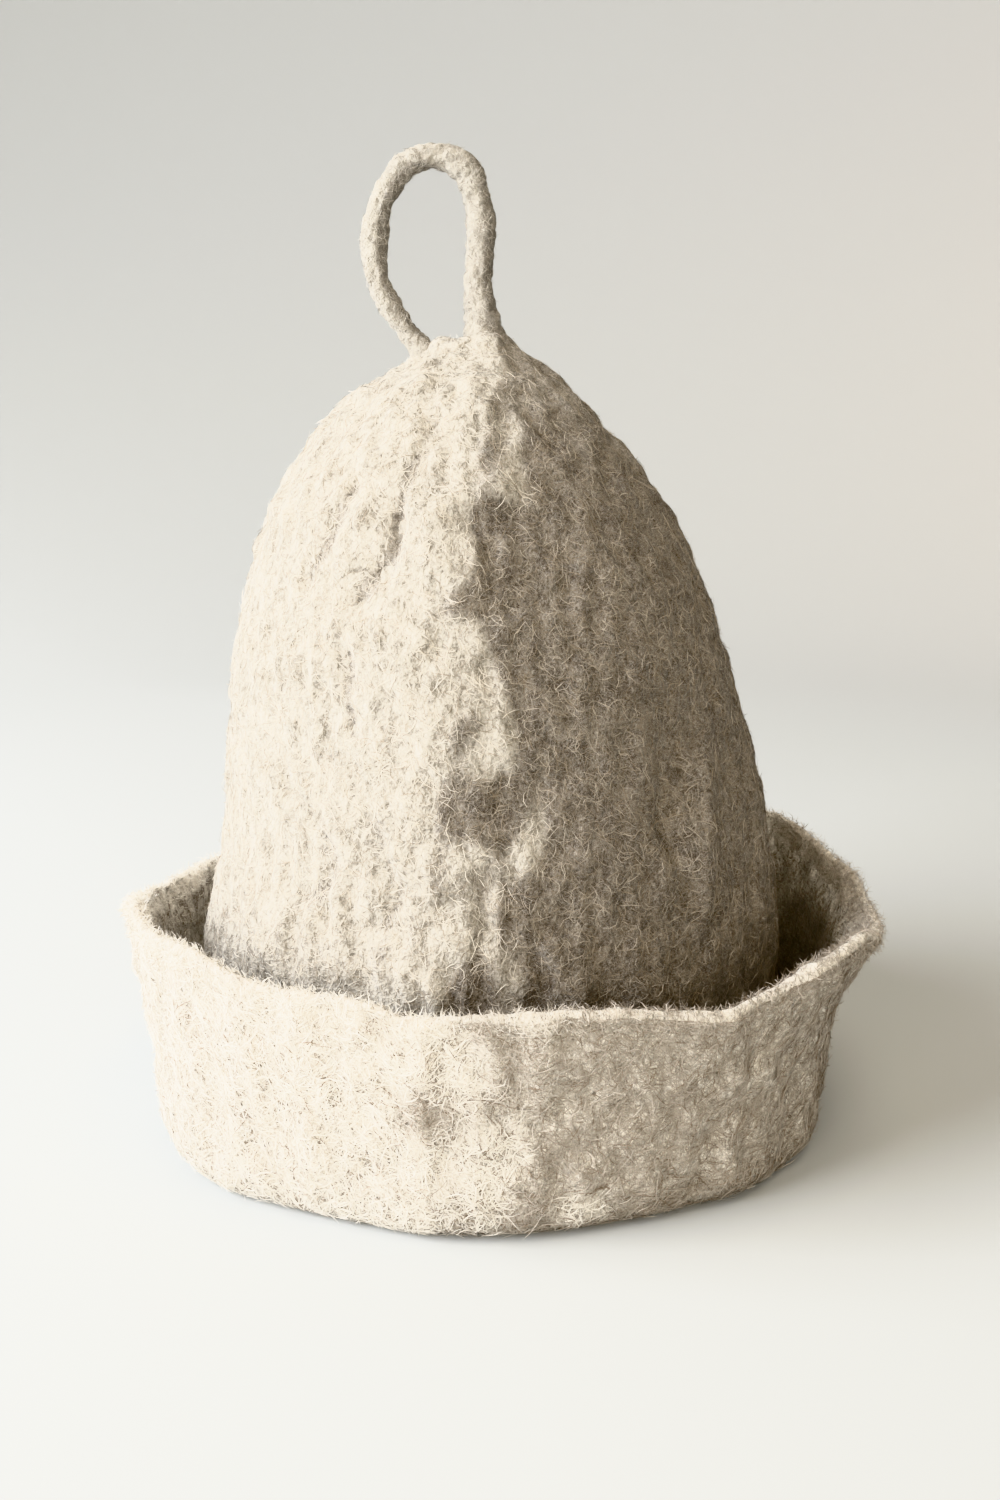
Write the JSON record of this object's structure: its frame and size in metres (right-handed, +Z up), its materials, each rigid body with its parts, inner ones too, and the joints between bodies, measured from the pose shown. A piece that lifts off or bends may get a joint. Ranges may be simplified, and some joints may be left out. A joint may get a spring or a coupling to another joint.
{
  "type": "sauna hat",
  "caption": "Tall bell-shaped hat of felted wool with an upturned flaring brim and a felted hanging loop on its top.",
  "frame": {"origin": "middle of the bounding box on the surface that the hat stands on", "axes": "+Z up from the opening to the hanging loop, -Y to the front that the picture shows, +X to the right seen from the front"},
  "size_m": [0.2466, 0.2444, 0.3066],
  "materials": {
    "wool_felt": "heathered beige-grey wool felt, fulled and hairy",
    "loop_felt": "rolled cord of the same wool felt"
  },
  "bodies": {
    "root": {"crown_and_brim": "wool_felt", "hanging_loop": "loop_felt"}
  },
  "joints": []
}
